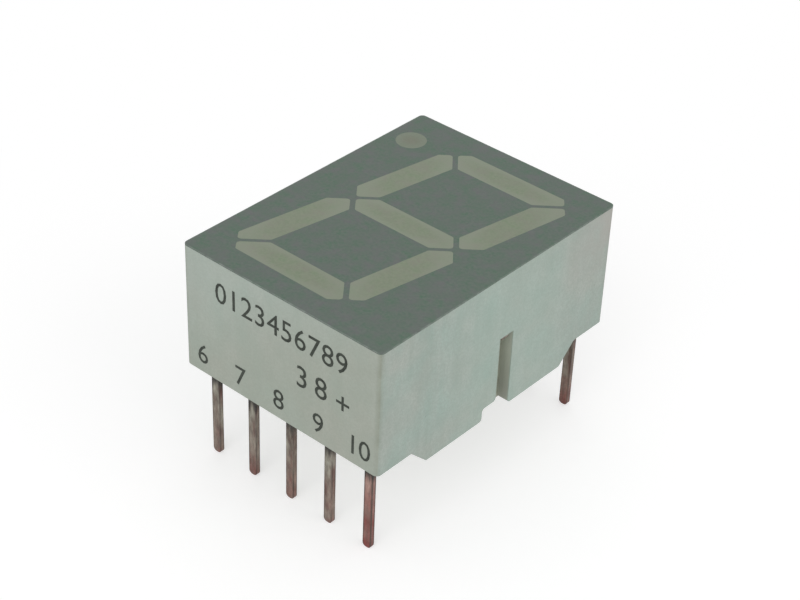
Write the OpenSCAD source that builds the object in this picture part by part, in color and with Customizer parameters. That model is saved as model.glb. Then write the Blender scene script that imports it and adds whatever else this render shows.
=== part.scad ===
// Single digit seven segment display, through-hole, with a right-hand decimal point.
// Millimetres. The origin lies on the seating plane (the underside of the feet) at the centre of the
// pin pattern: +Z points out of the face, +X to the right of the digit, +Y to its top.

/* [Body] */
// Width of the body across the digit
body_w = 12.5; // [11.6:0.1:14]
// Length of the body along the digit
body_l = 17.0; // [15.6:0.1:19]
// Height of the face above the seating plane
body_h = 8.0; // [7:0.1:9]
// Thickness of the two long walls
side_wall = 0.65; // [0.4:0.05:0.65]
// Thickness of the two end walls
end_wall = 0.6; // [0.4:0.05:0.7]
// Radius of the upright corners
corner_r = 0.25; // [0.1:0.05:0.5]
// Thickness of the grey coat on the face
coat_t = 0.06; // [0.04:0.01:0.12]

/* [Feet and tie bar slots] */
// Height of the end walls' lower edges above the seating plane
foot_lift = 1.05; // [0.6:0.05:1.15]
// Distance over the outer ends of the flat feet
foot_flat = 10.1; // [8:0.1:11]
// Length of the sloping run from a foot up to the raised end
foot_ramp = 1.1; // [0.4:0.1:1.5]
// Length of the gap between the two feet of a long wall
foot_gap_w = 2.0; // [1.6:0.1:4]
// Height of the gap between the two feet
foot_gap_h = 0.7; // [0.4:0.05:1]
// Radius of the corners along the lower edges of the long walls
foot_r = 0.18; // [0.05:0.01:0.19]
// Width of the slot that lets a tie bar out
slot_w = 1.0; // [0.8:0.05:1.4]

/* [Digit] */
// Height of the digit over its outer edges
digit_h = 14.2; // [13:0.1:14.6]
// Width of the digit over its outer edges, before it is slanted
digit_w = 8.05; // [7.6:0.05:8.3]
// Width of a segment
stroke = 1.5; // [1.3:0.05:1.7]
// Slant of the digit to the right, in degrees
slant = 10; // [0:1:12]
// Width of the web left between two segments
seg_gap = 0.25; // [0.15:0.05:0.4]
// Length cut off along both sides of each outer corner of the digit
corner_cut = 1.1; // [0.8:0.05:1.3]
// Radius of the segments' corners
seg_r = 0.18; // [0.1:0.01:0.22]
// Diameter of the decimal point at the face
dp_d = 1.6; // [1.5:0.05:1.8]
// Height of the decimal point's middle above the digit's lower edge
dp_rise = 1.0; // [0.8:0.05:1.3]

/* [Light pipes] */
// Depth of the light pipes, from the face to the lead frame
pipe_depth = 3.65; // [3:0.05:4]
// Length of a segment's pipe where it meets the lead frame
mouth_l = 2.3; // [2.1:0.05:2.8]
// Width of a segment's pipe where it meets the lead frame
mouth_w = 1.1; // [0.95:0.05:1.2]
// Clearance round the chip and its wire in the mouth of the decimal point's pipe
dp_site_gap = 0.04; // [0.02:0.01:0.1]
// Clearance from the mouth of the decimal point's pipe to the side wall
dp_wall_gap = 0.03; // [0.02:0.01:0.15]
// Height of the potting surface above the seating plane
fill_level = 1.2; // [1.1:0.05:1.6]

/* [Pins] */
// Distance from the side of the body to the middle of the pins next to it
side_inset = 1.17; // [1.1:0.01:1.6]
// Distance from the end of the body to the middle of the row of pins next to it
end_inset = 0.88; // [0.82:0.01:1.2]
// Width of a pin
pin_w = 0.51; // [0.4:0.01:0.55]
// Thickness of the lead frame's strip
lead_t = 0.25; // [0.2:0.01:0.28]
// Length of a pin below the seating plane
pin_below = 4.4; // [3:0.1:6]
// Radius inside the bend of a lead
bend_r = 0.25; // [0.1:0.05:0.4]
// Radius of the corners of a pin's tip
tip_r = 0.2; // [0.05:0.01:0.2]

/* [Lead frame] */
// Width of the inner strips
trace_w = 0.5; // [0.4:0.02:0.55]
// Width of the common strip from one row to the other
trunk_w = 0.6; // [0.45:0.05:0.65]
// Side of the square pad under a chip
chip_pad = 0.6; // [0.56:0.02:0.64]
// Width of the tie bars' stubs in the slots
tie_w = 0.5; // [0.4:0.05:0.6]
// Set-back of a tie bar's cut end from the outer face
tie_recess = 0.1; // [0:0.05:0.4]

/* [Chips and bond wires] */
// Side of a light-emitting chip
chip_w = 0.34; // [0.28:0.01:0.36]
// Height of a chip
chip_h = 0.25; // [0.2:0.01:0.28]
// Thickness of the silver epoxy under a chip
attach_t = 0.03; // [0.02:0.01:0.05]
// Distance from the middle of a chip to the far end of its wire
bond_span = 0.8; // [0.74:0.02:0.86]
// Diameter of a bond wire
wire_d = 0.04; // [0.03:0.005:0.05]

/* [Hidden] */
$fn = 48;
SEGMENT_NODES = ["segment_a", "segment_b", "segment_c", "segment_d",
                 "segment_e", "segment_f", "segment_g"];
LEAD_NODES = ["lead_1_e", "lead_2_d", "lead_4_c", "lead_5_dp",
              "lead_6_b", "lead_7_a", "lead_9_f", "lead_10_g"];
CHIP_NODES = ["led_chip_a", "led_chip_b", "led_chip_c", "led_chip_d",
              "led_chip_e", "led_chip_f", "led_chip_g", "led_chip_dp"];
WIRE_NODES = ["bond_wire_a", "bond_wire_b", "bond_wire_c", "bond_wire_d",
              "bond_wire_e", "bond_wire_f", "bond_wire_g", "bond_wire_dp"];

housing_color = [0.70, 0.74, 0.71];
coat_color = [0.40, 0.44, 0.41];
segment_color = [0.51, 0.54, 0.47];
point_color = [0.48, 0.51, 0.46];
potting_color = [0.53, 0.53, 0.46];
lead_color = [0.56, 0.51, 0.47];
chip_color = [0.78, 0.42, 0.14];
attach_color = [0.66, 0.66, 0.68];
gold_color = [0.83, 0.66, 0.27];

// How far a cutting shape runs past what it cuts
over = 1;
// Facets along one rounded corner of an outline
corner_steps = 4;

// The grid of pins stands inside the body. At the sizes above it has the usual 2.54 and 15.24.
row_pins = 5;
pitch = (body_w - 2 * side_inset) / (row_pins - 1);
row_gap = body_l - 2 * end_inset;

// Levels above the seating plane
coat_z = body_h - coat_t;
ledge_z = body_h - pipe_depth;
lead_z = ledge_z - lead_t;
bend_z = lead_z - bend_r;

// The slots stand flush with the lower side of the gap between the feet
slot_y = (slot_w - foot_gap_w) / 2;

// The potting's outline, inside the walls
cavity_w = body_w - 2 * side_wall;
cavity_l = body_l - 2 * end_wall;

// Centre lines of the digit's strokes, and how far a mitre's edge lies from its own centre line
stroke_x = (digit_w - stroke) / 2;
stroke_y = (digit_h - stroke) / 2;
mitre = seg_gap / sqrt(2);

// An end of a segment is two lines at 45 degrees. These say where each would cross its centre line.
flat_mitred = stroke_x - mitre;
flat_cut = stroke_x + stroke - corner_cut;
tall_mitred = stroke_y / 2 - mitre;
tall_cut = stroke_y / 2 + stroke - corner_cut;

// The silver epoxy reaches a little past its chip. The mouth of the decimal point's pipe stands round
// the chip and the far end of its wire, beside the wall.
attach_margin = 0.03;
attach_w = chip_w + 2 * attach_margin;
dp_mouth_d = norm([bond_span + attach_w, attach_w]) + 2 * dp_site_gap;
dp_x = (cavity_w - dp_mouth_d) / 2 - dp_wall_gap;
dp_y = dp_rise - digit_h / 2;

// Each segment: its centre before the slant, its turn, the four end lines (start right, start left,
// finish right, finish left, looking along it) and the side of its centre that its chip sits on
SEGMENTS = [
    [[0, stroke_y], 0, [flat_mitred, flat_cut, flat_mitred, flat_cut], 1],
    [[stroke_x, stroke_y / 2], 90, [tall_mitred, tall_mitred, tall_cut, tall_mitred], 1],
    [[stroke_x, -stroke_y / 2], 90, [tall_cut, tall_mitred, tall_mitred, tall_mitred], -1],
    [[0, -stroke_y], 0, [flat_cut, flat_mitred, flat_cut, flat_mitred], -1],
    [[-stroke_x, -stroke_y / 2], 90, [tall_mitred, tall_cut, tall_mitred, tall_mitred], -1],
    [[-stroke_x, stroke_y / 2], 90, [tall_mitred, tall_mitred, tall_mitred, tall_cut], 1],
    [[0, 0], 0, [flat_mitred, flat_mitred, flat_mitred, flat_mitred], -1]
];
POINT = 7;
SITES = [0:POINT];

function unit(v) = v / norm(v);
function turned(p, angle) = [p.x * cos(angle) - p.y * sin(angle), p.x * sin(angle) + p.y * cos(angle)];
function slanted(p) = [p.x + p.y * tan(slant), p.y];

// An outline, given anticlockwise, with an arc in the place of each corner
function rounded(points, r) = [
    for (i = [0:len(points) - 1])
        let (
            corner = points[i],
            to_last = unit(points[(i + len(points) - 1) % len(points)] - corner),
            to_next = unit(points[(i + 1) % len(points)] - corner),
            half = acos(to_last * to_next) / 2,
            centre = corner + unit(to_last + to_next) * r / sin(half),
            spoke = corner + to_last * r / tan(half) - centre,
            first = atan2(spoke.y, spoke.x),
            turn = sign(cross(to_next, to_last)) * (180 - 2 * half)
        )
        for (k = [0:corner_steps])
            let (angle = first + turn * k / corner_steps)
            centre + r * [cos(angle), sin(angle)]
];

// A strip of even width along a route, with mitred bends
function side_of(route, w, side) = [
    for (i = [0:len(route) - 1])
        let (
            before = unit(i == 0 ? route[1] - route[0] : route[i] - route[i - 1]),
            after = unit(i == len(route) - 1 ? route[i] - route[i - 1] : route[i + 1] - route[i]),
            along = unit(before + after)
        )
        route[i] + turned(along, 90) * side * w / 2 / (along * after)
];
function reversed(list) = [for (i = [len(list) - 1:-1:0]) list[i]];
function ribbon(route, w) = concat(side_of(route, w, -1), reversed(side_of(route, w, 1)));

// A six-sided bar along X, whose ends are the four lines at 45 degrees
function bar(half_w, ends) = [
    [-ends[0] + half_w, -half_w],
    [ends[2] - half_w, -half_w],
    [(ends[2] + ends[3]) / 2, (ends[3] - ends[2]) / 2],
    [ends[3] - half_w, half_w],
    [-ends[1] + half_w, half_w],
    [-(ends[0] + ends[1]) / 2, (ends[1] - ends[0]) / 2]
];

// The outline of segment s at height z: the full segment at the face, narrowing to its mouth
function pipe_outline(s, z) =
    let (
        share = (z - ledge_z) / pipe_depth,
        half_w = (mouth_w + (stroke - mouth_w) * share) / 2,
        ends = [for (end = SEGMENTS[s][2]) mouth_l / 2 + (end - mouth_l / 2) * share]
    )
    [for (p = rounded(bar(half_w, ends), seg_r)) slanted(SEGMENTS[s][0] + turned(p, SEGMENTS[s][1]))];

// Places on the lead frame: the middle of each chip, and the far end of its wire
function site(s, along) =
    s == POINT
        ? [dp_x, dp_y - along]
        : slanted(SEGMENTS[s][0] + turned([along * SEGMENTS[s][3], 0], SEGMENTS[s][1]));
function chip_at(s) = site(s, bond_span / 2);
function bond_at(s) = site(s, -bond_span / 2);

// Pins 1 to 5 run left to right along the lower row, 6 to 10 right to left along the upper one
function column(pin) = pin <= row_pins ? pin : 2 * row_pins + 1 - pin;
function pin_x(pin) = (column(pin) - (row_pins + 1) / 2) * pitch;
function pin_row(pin) = pin <= row_pins ? -1 : 1;

// Where the flat strip of a lead ends and its bend begins
shoulder_y = row_gap / 2 - lead_t / 2 - bend_r;
function shoulder(pin) = [pin_x(pin), pin_row(pin) * shoulder_y];

// Straight in from the pin and then across at 45 degrees, or square across
function slope_in(pin, place) = [
    shoulder(pin),
    [pin_x(pin), place.y + pin_row(pin) * abs(place.x - pin_x(pin))],
    place
];
function square_in(pin, place) = [shoulder(pin), [pin_x(pin), place.y], place];

// The lead to the middle segment runs down the left side and in at the body's middle, where a tie bar
// holds it
knee_x = -stroke_x - stroke / 2;
tie_x = body_w / 2 - tie_recess;
middle_route = concat(slope_in(10, [knee_x, 0]), [chip_at(6)]);
middle_tie = [[-tie_x, slot_y], [knee_x, slot_y], [knee_x - slot_y, 0]];

// Each single lead: its pin, the place that its chip has in SEGMENTS, its route, and its tie bar's route
LEADS = [
    [1, 4, slope_in(1, chip_at(4))],
    [2, 3, square_in(2, chip_at(3))],
    [4, 2, slope_in(4, chip_at(2))],
    [5, POINT, slope_in(5, chip_at(POINT))],
    [6, 1, slope_in(6, chip_at(1))],
    [7, 0, square_in(7, chip_at(0))],
    [9, 5, slope_in(9, chip_at(5))],
    [10, 6, middle_route, middle_tie]
];

// The common strip joins the middle pins of the rows and jogs round the middle segment's chip
COMMON_PINS = [3, 8];
trunk_x = bond_span / 2 + (trunk_w - trace_w) / 2;
jog_y = stroke_y - trace_w;
trunk_route = [
    shoulder(COMMON_PINS[0]), [0, -jog_y], [trunk_x, trunk_x - jog_y],
    [trunk_x, jog_y - trunk_x], [0, jog_y], shoulder(COMMON_PINS[1])
];
// The decimal point's finger turns down at the right-hand wall
point_turn = 0.8;
point_route = [
    bond_at(2), [dp_x - point_turn, bond_at(2).y], [dp_x, bond_at(2).y - point_turn], bond_at(POINT)
];

// The bond wire leaves the ball upright, turns over a small arc and comes down a wide one
landing_angle = 65;
contact_d = 0.14;
contact_t = 0.01;
ball_d = 0.1;
ball_h = 0.04;
stitch_h = 0.03;
chip_top = attach_t + chip_h + contact_t;
rise = chip_top + ball_h / 2 - stitch_h / 2;
reach = 1 / tan(landing_angle / 2);
small_bend = (bond_span - rise * reach) / (1 + reach);
wide_bend = (small_bend + rise) / (1 - cos(landing_angle));

module body_outline() {
    half = [body_w, body_l] / 2;
    polygon(rounded([-half, [half.x, -half.y], half, [-half.x, half.y]], corner_r));
}

module upright(z, h) translate([0, 0, z]) linear_extrude(h) children();

// A side view in Y and Z, drawn through the whole width
module across() {
    rotate([90, 0, 90]) linear_extrude(body_w + 2 * over, center = true) children();
}

// The tapered body of epoxy in a segment's well, between two heights
module light_pipe(s, low, high) {
    lower = pipe_outline(s, low);
    upper = pipe_outline(s, high);
    n = len(lower);
    polyhedron(
        points = concat([for (p = lower) [p.x, p.y, low]], [for (p = upper) [p.x, p.y, high]]),
        faces = concat(
            [[for (i = [0:n - 1]) i], [for (i = [n - 1:-1:0]) n + i]],
            [for (i = [0:n - 1]) [i, n + i, n + (i + 1) % n, (i + 1) % n]]
        )
    );
}

module point_pipe(low, high) {
    function radius(z) = (dp_mouth_d + (dp_d - dp_mouth_d) * (z - ledge_z) / pipe_depth) / 2;
    translate([dp_x, dp_y, low]) cylinder(r1 = radius(low), r2 = radius(high), h = high - low);
}

module all_pipes(low, high) {
    for (s = [0:POINT - 1]) light_pipe(s, low, high);
    point_pipe(low, high);
}

// ---- the moulded reflector ----

// All that lies below the rim: the raised ends, the gap between the feet and the slot that rises from it
module below_the_rim() {
    end_y = body_l / 2 + over;
    toe_y = foot_flat / 2;
    heel_y = foot_gap_w / 2;
    slot_side_y = slot_w - heel_y;
    polygon(rounded([
        [-end_y, -over], [end_y, -over], [end_y, foot_lift],
        [toe_y + foot_ramp, foot_lift], [toe_y, 0], [heel_y, 0], [heel_y, foot_gap_h],
        [slot_side_y, foot_gap_h], [slot_side_y, ledge_z + over], [-heel_y, ledge_z + over],
        [-heel_y, 0], [-toe_y, 0], [-toe_y - foot_ramp, foot_lift], [-end_y, foot_lift]
    ], foot_r));
}

module foot_clearances() {
    across() intersection() {
        below_the_rim();
        translate([-body_l, -2 * over]) square([2 * body_l, ledge_z + 2 * over]);
    }
}

module housing() {
    color(housing_color) difference() {
        upright(0, coat_z) body_outline();
        upright(-over, ledge_z + over) square([cavity_w, cavity_l], center = true);
        foot_clearances();
        all_pipes(ledge_z - over / 4, body_h);
    }
}

module face_coating() {
    color(coat_color) difference() {
        upright(coat_z, coat_t) body_outline();
        all_pipes(coat_z - over / 4, body_h + over / 4);
    }
}

// ---- chips and wires, drawn upwards from the lead frame's surface ----

module on_frame(s) {
    chip = chip_at(s);
    run = bond_at(s) - chip;
    translate([chip.x, chip.y, ledge_z]) rotate([0, 0, atan2(run.y, run.x)]) children();
}

module attach_dot() translate([-attach_w / 2, -attach_w / 2, 0]) cube([attach_w, attach_w, attach_t]);

module chip() {
    translate([-chip_w / 2, -chip_w / 2, attach_t]) cube([chip_w, chip_w, chip_h]);
    translate([0, 0, chip_top - contact_t]) cylinder(d = contact_d, h = contact_t);
}

// An arc of wire in the upright plane of the run, from one angle to another about its middle
module wire_arc(middle, r, from, to) {
    translate([middle.x, 0, middle.y]) rotate([90, 0, 0])
        rotate_extrude(angle = to - from, start = from) translate([r, 0]) circle(d = wire_d);
}

module wire() {
    start_z = chip_top + ball_h / 2;
    top = [small_bend, start_z + small_bend];
    translate([0, 0, chip_top]) cylinder(d = ball_d, h = ball_h);
    wire_arc([small_bend, start_z], small_bend, 90, 180);
    wire_arc([top.x, top.y - wide_bend], wide_bend, 90 - landing_angle, 90);
    translate([bond_span, 0, 0]) cylinder(d = ball_d, h = stitch_h);
}

// What an encapsulated site leaves out of the epoxy round it
module site_parts(s) {
    on_frame(s) {
        attach_dot();
        chip();
        wire();
    }
}

module led_chip(s) color(chip_color) on_frame(s) chip();
module bond_wire(s) color(gold_color) on_frame(s) wire();
module die_attach() color(attach_color) for (s = SITES) on_frame(s) attach_dot();

// ---- the epoxy ----

module segment(s) {
    color(segment_color) difference() {
        light_pipe(s, ledge_z, body_h);
        site_parts(s);
    }
}

module decimal_point() {
    color(point_color) difference() {
        point_pipe(ledge_z, body_h);
        site_parts(POINT);
    }
}

module back_fill() {
    color(potting_color) difference() {
        upright(fill_level, ledge_z - fill_level) square([cavity_w, cavity_l], center = true);
        for (lead = LEADS) single_lead(lead);
        common_lead();
    }
}

// ---- the lead frame ----

module strip(route, w) polygon(ribbon(route, w));

module pad(place, side) translate(place) square(side, center = true);

// The turned-down end of a lead, from its shoulder to its tip
module pin(number) {
    translate([pin_x(number), 0, 0]) mirror([0, pin_row(number) < 0 ? 1 : 0, 0]) {
        translate([0, shoulder_y, bend_z]) rotate([90, 0, 90])
            rotate_extrude(angle = 90) translate([bend_r, -pin_w / 2]) square([lead_t, pin_w]);
        translate([0, row_gap / 2 + lead_t / 2, 0]) rotate([90, 0, 0])
            linear_extrude(lead_t) blade_outline();
    }
}

// The straight of a pin, with a rounded tip and a square top
module blade_outline() {
    half = pin_w / 2;
    top = [[half, bend_z], [-half, bend_z]];
    soft = rounded(concat([[-half, -pin_below], [half, -pin_below]], top), tip_r);
    polygon(concat([for (i = [0:2 * corner_steps + 1]) soft[i]], top));
}

module flat_lead() upright(lead_z, lead_t) children();

module single_lead(lead) {
    flat_lead() {
        strip(lead[2], trace_w);
        pad(chip_at(lead[1]), chip_pad);
        if (len(lead) > 3) strip(lead[3], tie_w);
    }
    pin(lead[0]);
}

module common_lead() {
    flat_lead() {
        strip(trunk_route, trunk_w);
        for (s = [0, 3]) strip([[0, bond_at(s).y], bond_at(s)], trace_w);
        for (s = [1, 2, 4, 5]) strip([[trunk_x, bond_at(s).y], bond_at(s)], trace_w);
        for (s = SITES) pad(bond_at(s), trace_w);
        strip(point_route, trace_w);
        strip([[trunk_x, slot_y], [tie_x, slot_y]], tie_w);
    }
    for (number = COMMON_PINS) pin(number);
}

module lead(i) color(lead_color) single_lead(LEADS[i]);
module lead_3_8_common_anode() color(lead_color) common_lead();

housing();
face_coating();
for (s = [0:POINT - 1]) segment(s);
decimal_point();
back_fill();
for (i = [0:len(LEADS) - 1]) lead(i);
lead_3_8_common_anode();
die_attach();
for (s = SITES) led_chip(s);
for (s = SITES) bond_wire(s);
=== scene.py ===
# %% [markdown]
# # A single digit seven segment display
# The part is a small through-hole display, 12.5 x 17 mm on the face and 8 mm tall. A pale moulded
# reflector holds seven tapered wells and a round one. Epoxy with a frosting filler fills the wells and
# makes the segments, a grey coat covers the face round them, and ten flat leads come out of the potted
# back. The shapes are already exact solids, so this script lights them, gives each one its finish and
# adds the thin things that a solid model leaves out, such as printed ink.

# %% Load the solids
import math

import bpy
from mathutils import Matrix, Vector, noise


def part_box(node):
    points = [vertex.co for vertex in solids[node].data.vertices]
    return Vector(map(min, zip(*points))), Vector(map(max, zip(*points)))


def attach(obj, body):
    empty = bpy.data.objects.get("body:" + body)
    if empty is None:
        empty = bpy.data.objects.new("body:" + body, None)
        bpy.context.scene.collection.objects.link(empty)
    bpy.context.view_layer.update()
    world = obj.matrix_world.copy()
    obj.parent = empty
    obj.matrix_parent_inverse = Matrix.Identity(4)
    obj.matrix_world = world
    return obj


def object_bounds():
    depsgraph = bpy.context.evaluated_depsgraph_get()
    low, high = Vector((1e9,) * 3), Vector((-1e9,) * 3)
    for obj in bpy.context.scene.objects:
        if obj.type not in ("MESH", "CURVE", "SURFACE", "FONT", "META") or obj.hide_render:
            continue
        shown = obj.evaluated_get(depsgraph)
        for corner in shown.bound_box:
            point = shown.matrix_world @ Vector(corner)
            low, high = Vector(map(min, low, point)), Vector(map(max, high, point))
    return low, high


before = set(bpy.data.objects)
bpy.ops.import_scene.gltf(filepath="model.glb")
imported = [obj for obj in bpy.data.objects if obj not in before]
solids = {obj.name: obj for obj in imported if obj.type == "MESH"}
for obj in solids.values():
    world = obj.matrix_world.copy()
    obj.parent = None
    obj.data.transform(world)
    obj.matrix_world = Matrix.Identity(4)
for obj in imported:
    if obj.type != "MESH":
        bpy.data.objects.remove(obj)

solid_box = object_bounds()
print(len(solids), "solids, in a box from and to", *[[round(v * 1000, 2) for v in c] for c in solid_box])

# %% [markdown]
# ## Measures
# Places come from the solids themselves, so they follow when the part's sizes change: the outline of
# the housing, the well that the potting fills, the levels and the rows of leads. Only the thickness of
# the lead strip and the width of the stub inside each slot are typed, because no box shows them. Blender
# works in metres and this part is easier to think about in millimetres, so one value turns one into the
# other. The level of the board is zero.

# %% Read the main measures from the solids
MM = 0.001
half_width, half_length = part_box("housing")[1].xy
coat_level, face_level = [corner.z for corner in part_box("face_coating")]
well_half_width, well_half_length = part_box("back_fill")[1].xy
potting_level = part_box("back_fill")[0].z
tip_level = solid_box[0].z

strip_thickness = 0.25 * MM
lead_1_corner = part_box("lead_1_e")[0]
pin_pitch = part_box("lead_2_d")[0].x - lead_1_corner.x
pin_half_width = -lead_1_corner.x - 2 * pin_pitch
pin_half_thickness = strip_thickness / 2
pin_row_y = -lead_1_corner.y - pin_half_thickness

stub_width = 0.5 * MM
slot_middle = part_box("lead_10_g")[0].y + stub_width / 2

print("housing", round(half_width / MM, 3), "x", round(half_length / MM, 3), "mm from its middle,",
      "face at", round(face_level / MM, 3), "mm, tips at", round(tip_level / MM, 3), "mm")

# %% [markdown]
# ## Small helpers for node trees
# A material is a graph of nodes. Helpers keep the cells below short. The first two turn a plain value or
# another node's output into an input, and make a node with its sockets set. The other three make what
# comes up most: arithmetic, a ramp from one range of values to another, and a mix of two colours.
# Writing the graphs by hand in the editor gives the same result, but a script can be read and changed in
# one place.

# %% Feed an input and add a node
def feed(tree, socket, source):
    if isinstance(source, bpy.types.NodeSocket):
        tree.links.new(source, socket)
    elif source is not None:
        socket.default_value = source


def add(tree, kind, sockets=None, **settings):
    made = tree.nodes.new("ShaderNode" + kind)
    for name, value in settings.items():
        setattr(made, name, value)
    for name, source in (sockets or {}).items():
        feed(tree, made.inputs[name], source)
    return made


print("helpers: feed, add")

# %% Reckon, ramp and mix
MIX_FIRST_COLOUR, MIX_SECOND_COLOUR, MIX_COLOUR_OUT = 6, 7, 2


def reckon(tree, operation, *values, **settings):
    return add(tree, "Math", dict(enumerate(values)), operation=operation, **settings).outputs[0]


def ramp(tree, value, start, finish, low=0.0, high=1.0, smooth=False):
    sockets = {"Value": value, "From Min": start, "From Max": finish, "To Min": low, "To Max": high}
    return add(tree, "MapRange", sockets, interpolation_type="SMOOTHSTEP" if smooth else "LINEAR").outputs[0]


def mixed(tree, share, first, second):
    mix = add(tree, "Mix", {"Factor": share}, data_type="RGBA")
    feed(tree, mix.inputs[MIX_FIRST_COLOUR], first)
    feed(tree, mix.inputs[MIX_SECOND_COLOUR], second)
    return mix.outputs[MIX_COLOUR_OUT]


print("helpers: reckon, ramp, mixed")

# %% [markdown]
# ## The floor and the white round it
# The part stands on the tips of its leads on a plain white table. The table could be lit until it turns
# white, but that would wash out the part. Instead the floor is an ordinary pale matte surface for every
# ray that lights the part, and the camera sees it with a little glow added, so it reads as white and
# still keeps a soft shadow. Further out it turns plain white, so that no horizon shows. Seen from below
# the floor is clear, so the potted back can be looked at.

# %% Put things in the scene, and tell looking from lighting
def in_scene(name, data):
    made = bpy.data.objects.new(name, data)
    bpy.context.scene.collection.objects.link(made)
    return made


def looked_at(tree):
    rays = add(tree, "LightPath").outputs
    seen = reckon(tree, "MAXIMUM", rays["Is Camera Ray"], rays["Is Glossy Ray"])
    return reckon(tree, "MAXIMUM", seen, rays["Is Transmission Ray"])


print("helpers: in_scene, looked_at")

# %% Make the floor
TABLE_HALF = 600 * MM
WHITE_STARTS, WHITE_WHOLE = 12 * MM, 36 * MM


def white_table():
    made = bpy.data.materials.new("white_table")
    made.use_nodes = True
    tree = made.node_tree
    tree.nodes.clear()
    matte = add(tree, "BsdfDiffuse", {"Color": (0.80, 0.80, 0.80, 1)})
    pale = add(tree, "BsdfDiffuse", {"Color": (0.62, 0.62, 0.62, 1)})
    glow = add(tree, "Emission", {"Color": (1, 1, 1, 1), "Strength": 0.51})
    near = add(tree, "AddShader", {0: pale.outputs[0], 1: glow.outputs[0]})
    white = add(tree, "Emission", {"Color": (1, 1, 1, 1), "Strength": 1.0})
    away = add(tree, "VectorMath", {0: add(tree, "TexCoord").outputs["Object"]}, operation="LENGTH")
    far = ramp(tree, away.outputs["Value"], WHITE_STARTS, WHITE_WHOLE, smooth=True)
    shown = add(tree, "MixShader", {0: far, 1: near.outputs[0], 2: white.outputs[0]})
    above = add(tree, "MixShader", {0: looked_at(tree), 1: matte.outputs[0], 2: shown.outputs[0]})
    below = add(tree, "BsdfTransparent")
    back = add(tree, "NewGeometry").outputs["Backfacing"]
    both = add(tree, "MixShader", {0: back, 1: above.outputs[0], 2: below.outputs[0]})
    add(tree, "OutputMaterial", {"Surface": both.outputs[0]})
    return made


def square(name, half, level):
    mesh = bpy.data.meshes.new(name)
    corners = [(x * half, y * half, level) for x, y in ((-1, -1), (1, -1), (1, 1), (-1, 1))]
    mesh.from_pydata(corners, [], [(0, 1, 2, 3)])
    return mesh


table = in_scene("table", square("table", TABLE_HALF, tip_level))
table.data.materials.append(white_table())
print("floor at", round(tip_level / MM, 2), "mm")

# %% [markdown]
# ## Light
# Small electronic parts are shot in a light tent: even light from all round, with one side a little
# stronger so that the edges read. An environment image could do this, but a plain world colour and
# three large soft lamps are simpler and never show up as shapes in the gloss. The level is chosen so
# that a colour comes out about as it is written. What is looked at directly or in a reflection is a
# world of plain white.

# %% Set the world
def light_tent(strength):
    world = bpy.data.worlds.new("light_tent")
    world.use_nodes = True
    tree = world.node_tree
    tree.nodes.clear()
    soft = add(tree, "Background", {"Color": (1, 1, 1, 1), "Strength": strength})
    white = add(tree, "Background", {"Color": (1, 1, 1, 1), "Strength": 1.0})
    both = add(tree, "MixShader", {0: looked_at(tree), 1: soft.outputs[0], 2: white.outputs[0]})
    add(tree, "OutputWorld", {"Surface": both.outputs[0]})
    return world


bpy.context.scene.world = light_tent(strength=0.62)
bpy.context.scene.view_settings.view_transform = "Standard"
print("world:", bpy.context.scene.world.name)

# %% [markdown]
# ### Lamps
# Each lamp is a wide disk that faces the part, from a direction round it and a height above it in
# degrees. The wider a lamp is for its distance, the softer its shadows, so all three are nearly as wide
# as they are far away. The strongest lights the printed end, the next lights the long wall beside it,
# and a weak one on the far side keeps the hidden walls from going black. Spot lamps would draw hard
# shadows, as a torch does.

# %% Hang three soft lamps
LAMP_DISTANCE, LAMP_WIDTH = 300 * MM, 240 * MM


def towards(azimuth, elevation):
    a, e = math.radians(azimuth), math.radians(elevation)
    return Vector((math.sin(a) * math.cos(e), -math.cos(a) * math.cos(e), math.sin(e)))


def soft_lamp(name, azimuth, elevation, power):
    light = bpy.data.lights.new(name, "AREA")
    light.shape = "DISK"
    light.size = LAMP_WIDTH
    light.energy = power
    made = in_scene(name, light)
    made.location = towards(azimuth, elevation) * LAMP_DISTANCE
    made.rotation_euler = towards(azimuth, elevation).to_track_quat("Z", "Y").to_euler()
    return made


lamps = [soft_lamp("key_lamp", 196, 30, power=0.242),
         soft_lamp("fill_lamp", 276, 28, power=0.185),
         soft_lamp("back_lamp", 48, 10, power=0.07)]
print("lamps:", ", ".join(lamp.name for lamp in lamps))

# %% [markdown]
# ## Camera
# A part this small is shot close to with a long lens, which keeps the far edges nearly parallel. The
# camera stands behind the top of the digit, so the figure is seen upside down, and looks down at about
# 35 degrees. Its place could be typed as three coordinates. A direction, a distance and a point to look
# at say more, and a last turn about its own axis tilts it a little, as a hand-held camera is.

# %% Set up the camera
def hand_held_camera(azimuth, elevation, distance, aim, roll, lens):
    camera = bpy.data.cameras.new("camera")
    camera.lens = lens
    camera.sensor_width = 36
    camera.clip_start, camera.clip_end = 0.005, 5
    made = in_scene("camera", camera)
    back = towards(azimuth, elevation)
    tilt = Matrix.Rotation(math.radians(roll), 4, "Z")
    turn = (-back).to_track_quat("-Z", "Y").to_matrix().to_4x4() @ tilt
    made.matrix_world = Matrix.Translation(aim + back * distance) @ turn
    bpy.context.scene.camera = made
    return made


camera = hand_held_camera(azimuth=220.26, elevation=35.23, distance=94.26 * MM,
                          aim=Vector((0.48, -0.53, 3.02)) * MM, roll=2.41, lens=85.74)
print("camera at", [round(v / MM, 1) for v in camera.location], "mm")

# %% [markdown]
# ## Effects that several finishes share
# Moulded plastic, printed ink, resin and metal all vary a little over their surface. Each effect is a
# node group: a small graph with named inputs that any material can hold with its own values. The group
# works in millimetres on the solid's own position, so a grain has a real size and needs no unwrapping.

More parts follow.
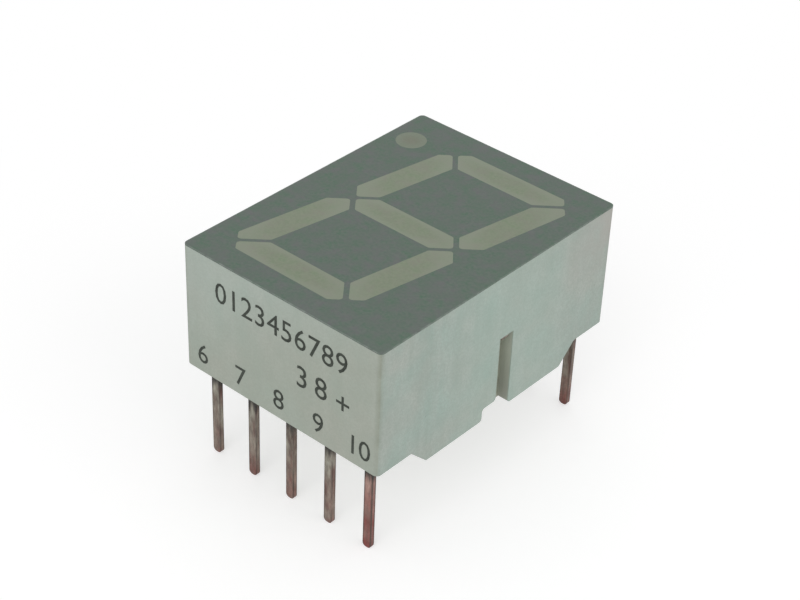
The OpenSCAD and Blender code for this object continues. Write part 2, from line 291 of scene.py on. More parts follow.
# %% Start a node group, and find the position
def start_group(name, inputs, outputs):
    group = bpy.data.node_groups.new(name, "ShaderNodeTree")
    for label, kind, value in inputs:
        socket = group.interface.new_socket(label, in_out="INPUT", socket_type="NodeSocket" + kind)
        socket.default_value = value
    for label, kind in outputs:
        group.interface.new_socket(label, in_out="OUTPUT", socket_type="NodeSocket" + kind)
    return group, group.nodes.new("NodeGroupInput").outputs, group.nodes.new("NodeGroupOutput").inputs


def position_mm(tree):
    place = add(tree, "TexCoord").outputs["Object"]
    return add(tree, "VectorMath", {0: place, "Scale": 1 / MM}, operation="SCALE").outputs[0]


def axes_mm(tree):
    return add(tree, "SeparateXYZ", {0: position_mm(tree)}).outputs


print("helpers: start_group, position_mm, axes_mm")

# %% [markdown]
# ### Cloudy tone
# Filled plastic and resin are never one colour: the pigment and the filler drift slowly through the
# part. The group moves between two close tones with soft noise. A painted image would do as well, but
# noise needs no image and has no seam.

# %% Build the cloudy tone
def cloudy_tone():
    group, given, out = start_group(
        "cloudy tone",
        [("Tone", "Color", (0.5, 0.5, 0.5, 1)), ("Other Tone", "Color", (0.4, 0.4, 0.4, 1)),
         ("Patch Size", "Float", 4.0), ("Stretch", "Vector", (1, 1, 1))],
        [("Color", "Color"), ("Mask", "Float")])
    place = add(group, "VectorMath", {0: position_mm(group), 1: given["Stretch"]}, operation="MULTIPLY")
    scale = reckon(group, "DIVIDE", 1.0, given["Patch Size"])
    clouds = add(group, "TexNoise", {"Vector": place.outputs[0], "Scale": scale, "Detail": 3.0,
                                     "Roughness": 0.55})
    spread = ramp(group, clouds.outputs[0], 0.33, 0.67)
    feed(group, out["Color"], mixed(group, spread, given["Tone"], given["Other Tone"]))
    feed(group, out["Mask"], spread)
    return group


CLOUDY_TONE = cloudy_tone()
print("group:", CLOUDY_TONE.name)

# %% [markdown]
# ### Fine grain
# A mould is spark eroded, and a coat is sprayed or rolled on, so neither is smooth like glass. The
# group gives a height for a Bump node and a mask that breaks up the gloss. Real displacement would need
# a dense mesh for the same look at this scale.

# %% Build the fine grain
def fine_grain():
    group, given, out = start_group(
        "fine grain", [("Grain Size", "Float", 0.1)], [("Height", "Float"), ("Mask", "Float")])
    scale = reckon(group, "DIVIDE", 1.0, given["Grain Size"])
    place = position_mm(group)
    coarse = add(group, "TexNoise", {"Vector": place, "Scale": scale, "Detail": 2.0}).outputs[0]
    cells = add(group, "TexVoronoi", {"Vector": place, "Scale": scale}).outputs["Distance"]
    feed(group, out["Height"], reckon(group, "MULTIPLY_ADD", cells, 0.5, coarse))
    feed(group, out["Mask"], ramp(group, coarse, 0.36, 0.64))
    return group


FINE_GRAIN = fine_grain()
print("group:", FINE_GRAIN.name)

# %% [markdown]
# ### Box edges
# Wear and dirt gather on the outer edges. The housing is a box, so the distance to its edges is plain
# arithmetic on the position: how far a point is from the side planes, and from the face. That is exact
# and cheap, where an edge found by ray casting is slow and depends on the mesh.

# %% Build the box edges
def box_edges():
    group, given, out = start_group(
        "box edges",
        [("Half Width", "Float", 6.0), ("Half Length", "Float", 8.0), ("Top", "Float", 8.0),
         ("Reach", "Float", 0.2)],
        [("Corner", "Float"), ("Rim", "Float")])

    def inside(value, limit):
        return reckon(group, "SUBTRACT", limit, reckon(group, "ABSOLUTE", value))

    def near(distance):
        return ramp(group, distance, 0.0, given["Reach"], 1.0, 0.0, smooth=True)

    place = axes_mm(group)
    across = inside(place["X"], given["Half Width"])
    along = inside(place["Y"], given["Half Length"])
    below = reckon(group, "SUBTRACT", given["Top"], place["Z"])
    side = reckon(group, "MINIMUM", across, along)
    feed(group, out["Corner"], near(reckon(group, "MAXIMUM", across, along)))
    feed(group, out["Rim"], near(reckon(group, "MAXIMUM", side, below)))
    return group


BOX_EDGES = box_edges()
print("group:", BOX_EDGES.name)

# %% [markdown]
# ### Specks
# Old stock picks up dust and tiny dark inclusions. Each cell of a Voronoi pattern holds one speck of a
# random size, and most cells stay empty. Modelled crumbs would be heavier and no more convincing.

# %% Build the specks
def specks():
    group, given, out = start_group(
        "specks", [("Spacing", "Float", 0.8), ("Share", "Float", 0.2), ("Size", "Float", 0.08)],
        [("Mask", "Float")])
    scale = reckon(group, "DIVIDE", 1.0, given["Spacing"])
    cells = add(group, "TexVoronoi", {"Vector": position_mm(group), "Scale": scale}).outputs
    chance = add(group, "SeparateColor", {0: cells["Color"]}).outputs
    kept = reckon(group, "LESS_THAN", chance[0], given["Share"])
    radius = reckon(group, "MULTIPLY", given["Size"], chance[1])
    dot = ramp(group, cells["Distance"], 0.0, radius, 1.0, 0.0)
    feed(group, out["Mask"], reckon(group, "MULTIPLY", dot, kept))
    return group


SPECKS = specks()
print("group:", SPECKS.name)

# %% [markdown]
# ### From the middle
# What lies under a clear or frosted window changes its look towards the middle. Generated coordinates
# run from 0 to 1 across each piece's own box, so one group serves every window, whatever its size or
# place. The mask is 0 at the middle and rises to 1 at the far value; 0.5 is the edge of the box.

# %% Build the distance from the middle
def from_middle():
    group, given, out = start_group(
        "from the middle", [("Near", "Float", 0.2), ("Far", "Float", 0.5)], [("Mask", "Float")])
    place = add(group, "TexCoord").outputs["Generated"]
    flat = add(group, "VectorMath", {0: place, 1: (1, 1, 0)}, operation="MULTIPLY")
    away = add(group, "VectorMath", {0: flat.outputs[0], 1: (0.5, 0.5, 0)}, operation="DISTANCE")
    feed(group, out["Mask"], ramp(group, away.outputs["Value"], given["Near"], given["Far"], smooth=True))
    return group


FROM_MIDDLE = from_middle()
print("group:", FROM_MIDDLE.name)

# %% [markdown]
# ## The finishes
# Every finish starts from the same physically based shader and is built up as a real surface ages: a
# body colour first, then one film, stain or worn place after another, each laid over the last through
# its own mask. One large graph could hold them all, but a short stack of layers is easier to read and
# to tune. The grain that makes the bump also breaks up the gloss, so that relief and shine agree.

# %% Start a finish, and hold an effect
def start_finish(name, roughness, metallic=0.0, specular=0.5):
    made = bpy.data.materials.new(name)
    made.use_nodes = True
    tree = made.node_tree
    tree.nodes.clear()
    shader = add(tree, "BsdfPrincipled", {"Roughness": roughness, "Metallic": metallic,
                                          "Specular IOR Level": specular})
    add(tree, "OutputMaterial", {"Surface": shader.outputs[0]})
    return made, tree, shader


def held(tree, group, **values):
    made = tree.nodes.new("ShaderNodeGroup")
    made.node_tree = group
    for name, value in values.items():
        feed(tree, made.inputs[name.replace("_", " ")], value)
    return made.outputs


print("helpers: start_finish, held")

# %% Lay one colour over another, and give the surface its grain
def laid_over(tree, under, over, mask, strength=1.0):
    return mixed(tree, reckon(tree, "MULTIPLY", mask, strength, use_clamp=True), under, over)


def grained(tree, shader, size_mm, depth_mm, glossiest, dullest):
    grain = held(tree, FINE_GRAIN, Grain_Size=size_mm)
    feed(tree, shader.inputs["Roughness"], ramp(tree, grain["Mask"], 0.0, 1.0, glossiest, dullest))
    bump = add(tree, "Bump", {"Height": grain["Height"], "Distance": depth_mm * MM, "Strength": 1.0})
    feed(tree, shader.inputs["Normal"], bump.outputs[0])
    return grain["Mask"]


print("helpers: laid_over, grained")

# %% [markdown]
# ### Housing plastic
# The reflector is injection moulded in a highly filled white plastic, so that no light leaks between
# the segments. It is matte, faintly cloudy, and has drag marks along the direction it left the mould.
# The years have changed it in places, and light and shade are painted into it in others. A warm
# tint of resin has crept into the two slots, and their walls are painted lighter than the rest, most
# of all deep inside, for light that the recess doesn't get, and darker low down as painted shade. The
# end walls carry painted shade: lighter high up towards one side and darker low down, as light from
# above falls on them. The upper part of one end has yellowed, and dirt draws a thin dark line down
# each upright corner. Only the middle of the long walls has kept its cool tone. A painted image could
# hold all of this. Here each place is a mask worked out from the position in millimetres, which
# follows the part when its sizes change.

# %% Find the resin tint and the painted light and shade in the slots
TINT_AND_LIGHT_STARTS, TINT_AND_LIGHT_WHOLE, PAINTED_LIGHT_STARTS = [half_width / MM - depth for depth in (0.02, 0.08, 0.42)]
TINT_AND_LIGHT_BACK = well_half_width / MM
SLOT_REACH = 0.56
SLOT_LIT_ABOVE, SLOT_SHADE_BELOW = 3.0, 0.8


def slot_walls(tree):
    place = axes_mm(tree)
    away = reckon(tree, "ABSOLUTE", place["X"])
    cut = ramp(tree, away, TINT_AND_LIGHT_STARTS, TINT_AND_LIGHT_WHOLE)
    outer = reckon(tree, "GREATER_THAN", away, TINT_AND_LIGHT_BACK - 0.01)
    beside = reckon(tree, "COMPARE", place["Y"], slot_middle / MM, SLOT_REACH)
    mask = reckon(tree, "MULTIPLY", reckon(tree, "MULTIPLY", cut, outer), beside)
    # Painted light: the slot walls get a colour paler than the wall's own, for light that the recess doesn't
    # get. It turns darker low down as painted shade, and paler still deep inside as more painted light.
    low = ramp(tree, place["Z"], SLOT_LIT_ABOVE, SLOT_SHADE_BELOW)
    tone = laid_over(tree, (0.480, 0.510, 0.430, 1), (0.345, 0.355, 0.300, 1), low)
    inner_painted_light = ramp(tree, away, PAINTED_LIGHT_STARTS, TINT_AND_LIGHT_BACK)
    return tone, mask, reckon(tree, "MULTIPLY", mask, inner_painted_light)


print("slot film from", round(TINT_AND_LIGHT_STARTS, 2), "mm in to", round(TINT_AND_LIGHT_BACK, 2), "mm from the middle")

# %% Find the painted shade on the end walls and the clean middle of the long walls
WALL_SKIN = 0.1
END_SHADE_SLANT, END_SHADE_STARTS_ABOVE, END_SHADE_WHOLE_BELOW = 0.45, 9.0, 4.2
CLEAN_Y, CLEAN_WHOLE, CLEAN_ENDS = -0.8, 1.5, 6.0


def end_film(tree):
    place = axes_mm(tree)
    away = reckon(tree, "ABSOLUTE", place["Y"])
    end = reckon(tree, "GREATER_THAN", away, half_length / MM - WALL_SKIN)
    # Painted shade: the end walls are lighter high up towards one side and darker low down, as light from
    # above falls on them.
    slanted = reckon(tree, "MULTIPLY_ADD", place["X"], END_SHADE_SLANT, place["Z"])
    low = ramp(tree, slanted, END_SHADE_STARTS_ABOVE, END_SHADE_WHOLE_BELOW)
    return laid_over(tree, (0.430, 0.482, 0.425, 1), (0.365, 0.383, 0.315, 1), low), end


def clean_middle(tree):
    place = axes_mm(tree)
    away = reckon(tree, "ABSOLUTE", place["X"])
    side = reckon(tree, "GREATER_THAN", away, half_width / MM - WALL_SKIN)
    along = reckon(tree, "ABSOLUTE", reckon(tree, "ADD", place["Y"], -CLEAN_Y))
    return reckon(tree, "MULTIPLY", side, ramp(tree, along, CLEAN_ENDS, CLEAN_WHOLE, smooth=True))


print("long walls clean for", CLEAN_WHOLE, "mm to either side of y =", CLEAN_Y, "mm")

# %% Find the yellowed end and the dirty corners
YELLOW_STARTS_Y, YELLOW_RAGGED = -4.5, 1.6
YELLOW_STARTS_Z, YELLOW_WHOLE_Z = 4.8, face_level / MM - 0.2
DIRT_REACH, DIRT_FAINT_BELOW, DIRT_WHOLE_ABOVE = 0.32, 1.5, 4.5


def yellowed_end(tree, uneven):
    place = axes_mm(tree)
    far = ramp(tree, place["Y"], YELLOW_STARTS_Y, -half_length / MM)
    level = reckon(tree, "MULTIPLY_ADD", uneven, YELLOW_RAGGED, place["Z"])
    return reckon(tree, "MULTIPLY", far, ramp(tree, level, YELLOW_STARTS_Z, YELLOW_WHOLE_Z))


def corner_line(tree, uneven):
    edges = held(tree, BOX_EDGES, Half_Width=half_width / MM, Half_Length=half_length / MM,
                 Top=coat_level / MM, Reach=DIRT_REACH)
    broken = ramp(tree, uneven, 0.0, 1.0, 0.45, 1.0)
    faded = ramp(tree, axes_mm(tree)["Z"], DIRT_FAINT_BELOW, DIRT_WHOLE_ABOVE, 0.30, 1.0)
    return reckon(tree, "MULTIPLY", reckon(tree, "MULTIPLY", edges["Corner"], broken), faded)


print("dirt within", DIRT_REACH, "mm of each upright corner")

# %% Make the housing plastic
def housing_plastic():
    made, tree, shader = start_finish("moulded_housing", 0.5)
    body = held(tree, CLOUDY_TONE, Tone=(0.322, 0.438, 0.382, 1), Other_Tone=(0.402, 0.420, 0.374, 1),
                Patch_Size=3.3)
    drag = held(tree, CLOUDY_TONE, Patch_Size=0.8, Stretch=(1.0, 1.0, 0.08))["Mask"]
    blotch = held(tree, CLOUDY_TONE, Patch_Size=1.1)["Mask"]
    grime = held(tree, SPECKS, Spacing=0.9, Share=0.16, Size=0.09)["Mask"]
    grain = grained(tree, shader, 0.09, 0.006, 0.46, 0.60)
    end_wall_shade, end = end_film(tree)
    resin_tint_and_light, slot, inner_painted_light = slot_walls(tree)
    layers = (((0.470, 0.512, 0.470, 1), drag, 0.58),
              ((0.270, 0.345, 0.300, 1), blotch, 0.38),
              ((0.290, 0.335, 0.295, 1), grain, 0.42),
              ((0.160, 0.165, 0.130, 1), grime, 0.5),
              # Painted shade on the end walls.
              (end_wall_shade, end, 0.55),
              ((0.372, 0.520, 0.442, 1), clean_middle(tree), 0.25),
              ((0.420, 0.395, 0.363, 1), yellowed_end(tree, blotch), 0.85),
              ((0.198, 0.218, 0.165, 1), corner_line(tree, blotch), 0.9),
              # Painted light and painted shade in the slots, over a warm resin tint.
              (resin_tint_and_light, slot, 0.9),
              ((0.500, 0.520, 0.440, 1), inner_painted_light, 0.5))
    colour = body["Color"]
    for over, mask, strength in layers:
        colour = laid_over(tree, colour, over, mask, strength)
    feed(tree, shader.inputs["Base Color"], colour)
    return made


FINISHES = {"housing_plastic": housing_plastic()}
print("finish:", FINISHES["housing_plastic"].name)

# %% [markdown]
# ### Face coat
# The grey on the face is an ink stamped on after moulding, so that the unlit digit hides against it. It
# is very even, dead matte and thin. Only its outer rim is rubbed here and there, where the plastic
# shows through. A flat grey would come close, but the eye still finds the grain of the film and the slow
# drift between a greener and a bluer grey, so both are there.

# %% Make the face coat
def face_coat():
    made, tree, shader = start_finish("grey_face_coat", 0.6, specular=0.35)
    body = held(tree, CLOUDY_TONE, Tone=(0.070, 0.138, 0.088, 1), Other_Tone=(0.122, 0.126, 0.128, 1),
                Patch_Size=0.55)
    drift = held(tree, CLOUDY_TONE, Patch_Size=0.9)["Mask"]
    rub = held(tree, CLOUDY_TONE, Patch_Size=0.35)["Mask"]
    dust = held(tree, SPECKS, Spacing=0.7, Share=0.10, Size=0.06)["Mask"]
    edges = held(tree, BOX_EDGES, Half_Width=half_width / MM, Half_Length=half_length / MM,
                 Top=face_level / MM, Reach=0.07)
    rubbed = reckon(tree, "MULTIPLY", edges["Rim"], rub)
    grain = grained(tree, shader, 0.17, 0.004, 0.52, 0.70)
    colour = laid_over(tree, body["Color"], (0.150, 0.178, 0.158, 1), grain, 0.65)
    colour = laid_over(tree, colour, (0.098, 0.143, 0.108, 1), drift, 0.35)
    colour = laid_over(tree, colour, (0.300, 0.345, 0.310, 1), rubbed, 0.55)
    colour = laid_over(tree, colour, (0.240, 0.270, 0.240, 1), dust, 0.35)
    feed(tree, shader.inputs["Base Color"], colour)
    return made


FINISHES["face_ink"] = face_coat()
print("finish:", FINISHES["face_ink"].name)

# %% [markdown]
# ### Diffusing epoxy
# The segments are clear epoxy with a glass filler that spreads the light of one small chip over the
# whole bar. Unlit they look like frosted, slightly yellow-green stone, a little paler at the ends,
# where the well is shallow and there is no chip below. Real scattering inside the resin is slow to
# render and is lost on export, so fine cells and a cloudy tone stand in for the filler.

# %% Make the diffusing epoxy
def diffusing_epoxy():
    made, tree, shader = start_finish("frosted_epoxy", 0.45, specular=0.35)
    body = held(tree, CLOUDY_TONE, Tone=(0.174, 0.234, 0.140, 1), Other_Tone=(0.210, 0.220, 0.168, 1),
                Patch_Size=0.8)
    ends = held(tree, FROM_MIDDLE, Near=0.22, Far=0.52)["Mask"]
    filler = held(tree, SPECKS, Spacing=0.16, Share=0.35, Size=0.10)["Mask"]
    grain = grained(tree, shader, 0.13, 0.003, 0.42, 0.56)
    colour = laid_over(tree, body["Color"], (0.228, 0.263, 0.187, 1), grain, 0.80)
    colour = laid_over(tree, colour, (0.256, 0.284, 0.222, 1), ends, 0.5)
    colour = laid_over(tree, colour, (0.300, 0.330, 0.270, 1), filler, 0.25)
    feed(tree, shader.inputs["Base Color"], colour)
    return made


FINISHES["diffusing_epoxy"] = diffusing_epoxy()
print("finish:", FINISHES["diffusing_epoxy"].name)

# %% [markdown]
# ### The decimal point
# The round well is narrow and its walls are steep, so less light comes back out of it, and the chip
# shows as a faint warm spot through the resin. The finish is the segments' own, made duller, with that
# spot laid over its middle. One made from nothing would have to be kept in step with theirs.

# %% Make the decimal point's epoxy
def point_epoxy():
    made = FINISHES["diffusing_epoxy"].copy()
    made.name = "frosted_epoxy_point"
    tree = made.node_tree
    shader = next(node for node in tree.nodes if node.type == "BSDF_PRINCIPLED")
    segment_colour = shader.inputs["Base Color"].links[0].from_socket
    dull = mixed(tree, 0.6, segment_colour, (0.150, 0.182, 0.134, 1))
    rim = held(tree, FROM_MIDDLE, Near=0.08, Far=0.42)["Mask"]
    spot = reckon(tree, "SUBTRACT", 1.0, rim)
    feed(tree, shader.inputs["Base Color"], laid_over(tree, dull, (0.170, 0.155, 0.115, 1), spot, 0.35))
    return made


FINISHES["decimal_point"] = point_epoxy()
print("finish:", FINISHES["decimal_point"].name)

# %% [markdown]
# ### Potting
# The back is filled with the same resin without a coat over it. Set resin is dull green, cloudy and
# glossier than the moulded plastic, with small bubbles and dust caught in its skin. Clear resin would
# let the inside show, but the filler makes this one nearly opaque, so an ordinary body with a little
# gloss is enough.

# %% Make the potting
def potting():
    made, tree, shader = start_finish("potting_resin", 0.28)
    body = held(tree, CLOUDY_TONE, Tone=(0.380, 0.405, 0.325, 1), Other_Tone=(0.320, 0.338, 0.262, 1),
                Patch_Size=1.8)
    caught = held(tree, SPECKS, Spacing=0.6, Share=0.25, Size=0.12)["Mask"]
    grained(tree, shader, 0.45, 0.02, 0.20, 0.36)
    colour = laid_over(tree, body["Color"], (0.420, 0.430, 0.350, 1), caught, 0.5)
    feed(tree, shader.inputs["Base Color"], colour)
    return made


FINISHES["potting_epoxy"] = potting()
print("finish:", FINISHES["potting_epoxy"].name)

# %% [markdown]
# ### Lead metal
# The leads are plated strip from a stamping tool, and these have lain for years: the plating has gone
# dull and streaky, copper shows through towards the tips and on the sides that the tool cut, and the
# edges are darker. Painted shadow darkens each lead where it leaves the part, for the shade under the
# body. The streaks are cloudy noise drawn out along the lead. The tips and the painted shadow are found
# by height, and the cut sides and the edges by how far a point lies from the middle of its own lead,
# which repeats with the pitch of the leads. One corner of the part has stood in damp, so the lead there
# is pink with bare copper all the way down.

# %% Find the cut sides and the edges of every lead
CUT_SIDE_STARTS, CUT_SIDE_WHOLE = 0.09, 0.01
EDGE_DARK_STARTS, EDGE_DARK_WHOLE = 0.10, 0.02


def lead_section(tree, place):
    half_mm = pin_half_width / MM
    column = reckon(tree, "PINGPONG", place["X"], pin_pitch / MM / 2)
    row = reckon(tree, "SUBTRACT", reckon(tree, "ABSOLUTE", place["Y"]), pin_row_y / MM)
    side = ramp(tree, column, half_mm - CUT_SIDE_STARTS, half_mm - CUT_SIDE_WHOLE)
    across = reckon(tree, "SUBTRACT", half_mm, column)
    through = reckon(tree, "SUBTRACT", pin_half_thickness / MM, reckon(tree, "ABSOLUTE", row))
    edge = reckon(tree, "MAXIMUM", across, through)
    return side, ramp(tree, edge, EDGE_DARK_STARTS, EDGE_DARK_WHOLE)


print("lead section", round(2 * pin_half_width / MM, 2), "x", round(strip_thickness / MM, 2), "mm")

# %% Find the damp corner, the copper and the painted shadow at the roots
DAMP_WAY = (-0.1, 0.07, 0)
COPPER_ENDS_Z = -0.6
ROOT_SHADOW_Z, ROOT_SHADOW_WHOLE, ROOT_SHADOW_ENDS, ROOT_SHADOW_RAGGED = 0.85, 0.4, 1.1, 0.5


def damp_corner(tree):
    reach = add(tree, "VectorMath", {0: position_mm(tree), 1: DAMP_WAY}, operation="DOT_PRODUCT")
    along = reach.outputs["Value"]
    return ramp(tree, along, -1.0, 1.0, 0.5, 1.3), ramp(tree, along, 0.80, 1.05)


def copper_at_tips(tree, place, damp, corner):
    blush = held(tree, CLOUDY_TONE, Patch_Size=1.7)["Mask"]
    share = reckon(tree, "MULTIPLY", ramp(tree, blush, 0.0, 1.0, 0.35, 1.0), damp)
    share = reckon(tree, "MULTIPLY", share, reckon(tree, "MULTIPLY_ADD", corner, 0.45, 1.0))
    low = ramp(tree, place["Z"], tip_level / MM, COPPER_ENDS_Z, 1.0, 0.15)
    return reckon(tree, "MULTIPLY", low, share)


def worn_streaks(tree, place, streak):
    outside = reckon(tree, "LESS_THAN", place["Z"], potting_level / MM)
    return reckon(tree, "MULTIPLY", ramp(tree, streak, 0.0, 1.0, 0.25, 1.0), outside)


# Painted shadow: each lead is darkened just below the body, where the body shades it.
def dark_stain(tree, place, streak):
    ragged = reckon(tree, "MULTIPLY_ADD", streak, ROOT_SHADOW_RAGGED, place["Z"])
    away = reckon(tree, "ABSOLUTE", reckon(tree, "SUBTRACT", ragged, ROOT_SHADOW_Z))
    return ramp(tree, away, ROOT_SHADOW_ENDS, ROOT_SHADOW_WHOLE, smooth=True)


print("copper from", COPPER_ENDS_Z, "mm down to", round(tip_level / MM, 2), "mm")

# %% Make the lead metal
def lead_metal():
    made, tree, shader = start_finish("tarnished_lead", 0.42, metallic=0.55)
    place = axes_mm(tree)
    body = held(tree, CLOUDY_TONE, Tone=(0.475, 0.485, 0.396, 1), Other_Tone=(0.110, 0.087, 0.066, 1),
                Patch_Size=0.36, Stretch=(1.0, 1.0, 0.28))
    streak = held(tree, CLOUDY_TONE, Patch_Size=0.22, Stretch=(1.0, 1.0, 0.16))["Mask"]
    tarnish = held(tree, CLOUDY_TONE, Patch_Size=0.16, Stretch=(1.0, 1.0, 0.3))["Mask"]
    damp, corner = damp_corner(tree)
    worn = worn_streaks(tree, place, streak)
    side, edge = lead_section(tree, place)
    side = reckon(tree, "MULTIPLY", reckon(tree, "MULTIPLY", side, worn), 0.6)
    copper = reckon(tree, "MAXIMUM", copper_at_tips(tree, place, damp, corner), side)
    edge = reckon(tree, "MULTIPLY", edge, reckon(tree, "MAXIMUM", worn, corner))
    colour = laid_over(tree, body["Color"], (0.520, 0.250, 0.210, 1), corner, 0.66)
    colour = laid_over(tree, colour, (0.230, 0.052, 0.043, 1), copper, 0.9)
    # The edges of each lead are darker.
    colour = laid_over(tree, colour, (0.050, 0.038, 0.030, 1), edge, 0.85)
    colour = laid_over(tree, colour, (0.055, 0.046, 0.037, 1), tarnish, 0.46)
    # Painted shadow at the root of each lead.
    colour = laid_over(tree, colour, (0.024, 0.021, 0.018, 1), dark_stain(tree, place, streak), 0.95)
    feed(tree, shader.inputs["Base Color"], colour)
    grained(tree, shader, 0.09, 0.012, 0.36, 0.54)
    return made


FINISHES["lead_metal"] = lead_metal()
print("finish:", FINISHES["lead_metal"].name)

# %% [markdown]
# ### Chips, wires and the paste under them
# These are shut in the resin and seldom seen, but anyone who hides the housing will find them: small
# cubes of amber semiconductor with sawn sides, drawn gold wire, and paste with silver flakes. Each could
# have a graph of its own, but two close tones and a grain are enough for all three, so one function
# makes them.

# %% Make the chip, wire and paste finishes
def small_part_finish(name, tone, other, patch_mm, roughness, metallic, grain_mm, depth_mm):
    made, tree, shader = start_finish(name, roughness, metallic=metallic)
    body = held(tree, CLOUDY_TONE, Tone=(*tone, 1), Other_Tone=(*other, 1), Patch_Size=patch_mm)
    feed(tree, shader.inputs["Base Color"], body["Color"])
    grained(tree, shader, grain_mm, depth_mm, roughness - 0.08, roughness + 0.10)
    return made


FINISHES["led_chip"] = small_part_finish("amber_chip", (0.62, 0.18, 0.03), (0.48, 0.12, 0.02),
                                         0.12, 0.35, 0.0, 0.03, 0.003)
FINISHES["gold_wire"] = small_part_finish("drawn_gold", (0.90, 0.60, 0.20), (0.80, 0.52, 0.17),
                                          0.20, 0.25, 1.0, 0.02, 0.001)
FINISHES["silver_epoxy"] = small_part_finish("silver_paste", (0.52, 0.52, 0.54), (0.36, 0.36, 0.38),
                                             0.06, 0.45, 0.6, 0.02, 0.002)
print("finishes:", ", ".join(sorted(FINISHES)))

# %% [markdown]
# ## Dress the solids
# Each solid already names the material it is made of, so the finish is looked up by that name. The
# decimal point is the one that has a finish of its own. Choosing by hand would work too, but a list of
# 37 pieces is easy to get wrong.

# %% Give every solid its finish
for name, solid in solids.items():
    wanted = name if name in FINISHES else solid.data.materials[0].name
    for index in range(len(solid.data.materials)):
        solid.data.materials[index] = FINISHES[wanted]
print("dressed", len(solids), "solids")

# %% [markdown]
# ## Soft edges
# No moulded or stamped edge is perfectly sharp, and a sharp one catches no light. A bevel modifier
# rounds the edges by a few hundredths of a millimetre and leaves the mesh itself alone. The solids come
# in with their faces split, so a weld comes first, or the bevel would open cracks. Weighted normals come
# last and keep the large faces flat, so that only the rounded edges shade as curves.

# %% Round the visible edges
SAME_POINT = 1e-7
SHARP_EDGE = math.radians(35)
MOULDED_EDGE, STAMPED_EDGE = 0.05 * MM, 0.035 * MM


def soft_edges(solid, width):
    weld = solid.modifiers.new("weld", "WELD")
    weld.merge_threshold = SAME_POINT
    bevel = solid.modifiers.new("soft_edge", "BEVEL")
    bevel.width = width
    bevel.segments = 2
    bevel.limit_method = "ANGLE"
    bevel.angle_limit = SHARP_EDGE
    bevel.use_clamp_overlap = True
    flat = solid.modifiers.new("flat_faces", "WEIGHTED_NORMAL")
    flat.mode = "FACE_AREA"
    flat.weight = 100


for name, solid in solids.items():
    if name == "housing":
        soft_edges(solid, MOULDED_EDGE)
    elif name.startswith("lead_"):
        soft_edges(solid, STAMPED_EDGE)
print("rounded", sum(1 for solid in solids.values() if solid.modifiers), "solids")

# %% [markdown]
# ## The skin of the potting
# Poured resin isn't flat: it creeps along the walls and every lead, runs down beside the slots, and sets
# that way. The solid stops at a flat face, so the creep is a skin laid just under it. The skin is a grid
# of points, each as far down as its distance from the nearest wall and lead says, and a strip round its
# border closes it where a slot lets one look in. A sculpted surface could look the same, but a formula
# follows the part when its sizes change. All its numbers are in millimetres.

# %% Work out how far the resin creeps
LONG_WALL_CREEP, END_WALL_CREEP, LEAD_CREEP, SLOT_RUN = 0.50, 0.09, 0.26, 0.62
WALL_FADE, LEAD_FADE = 0.8, 0.22
SLOT_RUN_BELOW, SLOT_RUN_WHOLE, SLOT_RUN_ENDS = 0.3, 0.15, 1.35
LONG_WALL_LOSS, LOSS_STARTS_Y, LOSS_WHOLE_Y = 0.85, 4.2, 5.6
SKIN_DEPTH, RIPPLE_HEIGHT, RIPPLES_PER_MM = 0.035, 0.02, 0.9
OUTER_COLUMN = 2


def eased(value, start, finish):
    share = min(max((value - start) / (finish - start), 0.0), 1.0)
    return share * share * (3 - 2 * share)


def wall_creep(x, y):
    at_slot = 1 - eased(abs(y - slot_middle / MM + SLOT_RUN_BELOW), SLOT_RUN_WHOLE, SLOT_RUN_ENDS)
    long_wall = LONG_WALL_CREEP + SLOT_RUN * at_slot
    long_wall *= 1 - LONG_WALL_LOSS * eased(abs(y), LOSS_STARTS_Y, LOSS_WHOLE_Y)
    long_wall *= math.exp(-(well_half_width / MM - abs(x)) / WALL_FADE)
    return long_wall + END_WALL_CREEP * math.exp(-(well_half_length / MM - abs(y)) / WALL_FADE)


def lead_creep(x, y):
    column = min(max(round(x * MM / pin_pitch), -OUTER_COLUMN), OUTER_COLUMN) * pin_pitch / MM
    across = max(abs(x - column) - pin_half_width / MM, 0.0)
    through = max(abs(abs(y) - pin_row_y / MM) - pin_half_thickness / MM, 0.0)
    return LEAD_CREEP * math.exp(-math.hypot(across, through) / LEAD_FADE)


def creep_mm(x, y):
    ripple = RIPPLE_HEIGHT * noise.noise(Vector((x, y, 0.0)) * RIPPLES_PER_MM)
    return SKIN_DEPTH + ripple + max(wall_creep(x, y), lead_creep(x, y))


print("creep at the wall", round(creep_mm(well_half_width / MM, 3.0), 2), "mm, at a lead",
      round(creep_mm(0.0, pin_row_y / MM), 2), "mm")

# %% Lay out the grid of the skin
SKIN_STEP = 0.12
COLUMNS, ROWS = [round(2 * half / MM / SKIN_STEP) for half in (well_half_width, well_half_length)]


def grid_index(row, column):
    return row * (COLUMNS + 1) + column


def grid_points():
    points = []
    for row in range(ROWS + 1):
        for column in range(COLUMNS + 1):
            x, y = (2 * column / COLUMNS - 1) * well_half_width, (2 * row / ROWS - 1) * well_half_length
            points.append((x, y, potting_level - creep_mm(x / MM, y / MM) * MM))
    return points


def grid_faces():
    turns = ((0, 0), (1, 0), (1, 1), (0, 1))
    return [tuple(grid_index(row + down, column + right) for down, right in turns)
            for row in range(ROWS) for column in range(COLUMNS)]


def grid_border():
    first = [grid_index(0, column) for column in range(COLUMNS)]
    right = [grid_index(row, COLUMNS) for row in range(ROWS)]
    last = [grid_index(ROWS, column) for column in range(COLUMNS, 0, -1)]
    left = [grid_index(row, 0) for row in range(ROWS, 0, -1)]
    return first + right + last + left


print("grid:", COLUMNS, "x", ROWS, "faces")

# %% Lay the skin under the potting
SKIN_THICKNESS = 0.012 * MM
SKIN_FOLD = math.radians(50)


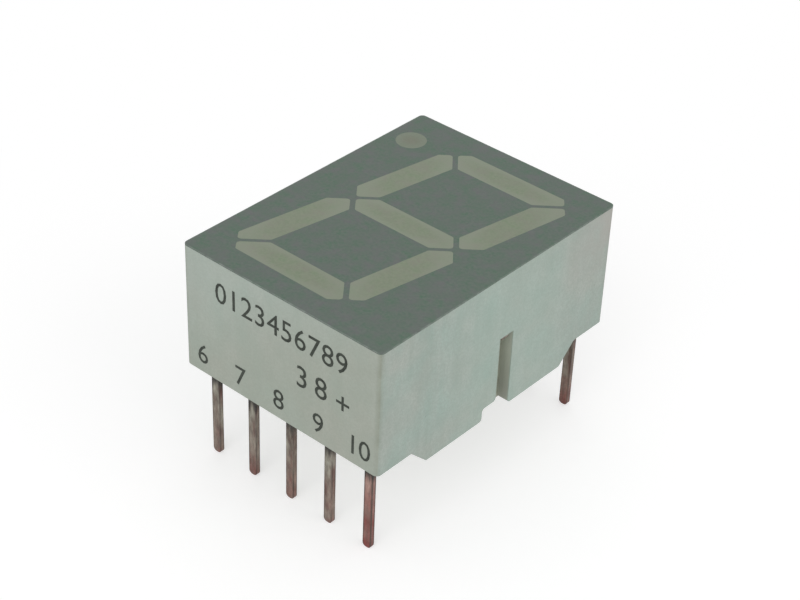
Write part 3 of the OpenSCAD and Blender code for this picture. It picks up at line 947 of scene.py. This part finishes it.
def skin_mesh():
    points, faces, border = grid_points(), grid_faces(), grid_border()
    upper = len(points)
    points += [(points[index][0], points[index][1], potting_level) for index in border]
    for place, index in enumerate(border):
        after = (place + 1) % len(border)
        faces.append((index, border[after], upper + after, upper + place))
    mesh = bpy.data.meshes.new("potting_skin")
    mesh.from_pydata(points, [], faces)
    mesh.shade_smooth()
    mesh.set_sharp_from_angle(angle=SKIN_FOLD)
    return mesh


skin = in_scene("potting_skin", skin_mesh())
skin.data.materials.append(FINISHES["potting_epoxy"])
skin.modifiers.new("skin_depth", "SOLIDIFY").thickness = SKIN_THICKNESS
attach(skin, "root")
print("skin:", len(skin.data.polygons), "faces")

# %% [markdown]
# ## Printed marks
# A display like this carries ink marks on the wall above its upper row of leads. Here they are plain
# numbers that help whoever solders it: the digits it shows, the numbers of the leads below, and a plus
# by the two leads that share the positive side. They could be painted into the housing's colour, but
# letters cut from a text object stay crisp and sit on the wall as a thin film, as real ink does. Text is
# made lying flat, so one matrix stands it up against the wall.

# %% Make the ink
def printing_ink():
    made, tree, shader = start_finish("printing_ink", 0.5, specular=0.3)
    body = held(tree, CLOUDY_TONE, Tone=(0.016, 0.022, 0.014, 1), Other_Tone=(0.040, 0.050, 0.037, 1),
                Patch_Size=0.35)
    feed(tree, shader.inputs["Base Color"], body["Color"])
    grained(tree, shader, 0.06, 0.003, 0.40, 0.60)
    return made


INK = printing_ink()
print("ink:", INK.name)

# %% Print a line of numbers on the upper end wall
INK_THICKNESS, INK_MIDDLE = 0.006 * MM, 0.004 * MM
DIGIT_SHARE = 0.73
ONTO_WALL = Matrix(((-1, 0, 0, 0), (0, 0, 1, half_length + INK_MIDDLE), (0, 1, 0, 0), (0, 0, 0, 1)))


def print_mark(name, words, x_mm, depth_mm, height_mm, spacing=0.92):
    text = bpy.data.curves.new(name, "FONT")
    text.body = words
    text.size = height_mm / DIGIT_SHARE * MM
    text.align_x = "CENTER"
    text.space_character = spacing
    text.extrude = INK_THICKNESS / 2
    text.resolution_u = 3
    draft = in_scene(name + "_draft", text)
    bpy.context.view_layer.update()
    mesh = bpy.data.meshes.new_from_object(draft.evaluated_get(bpy.context.evaluated_depsgraph_get()))
    bpy.data.objects.remove(draft)
    foot = face_level - (depth_mm + height_mm) * MM
    mesh.transform(ONTO_WALL @ Matrix.Translation((-x_mm * MM, foot, 0)))
    mesh.materials.clear()
    mesh.materials.append(INK)
    made = in_scene(name, mesh)
    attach(made, "root")
    return made


marks = [print_mark("mark_digits", "0123456789", -0.1, 1.05, 1.20, spacing=1.04),
         print_mark("mark_common", "3 8", -2.1, 3.10, 1.25),
         print_mark("mark_plus", "+", -4.05, 3.25, 1.25)]
for lead in range(6, 11):
    marks.append(print_mark("mark_lead_%d" % lead, str(lead), (8 - lead) * pin_pitch / MM, 5.25, 1.15))
print("printed", len(marks), "marks")
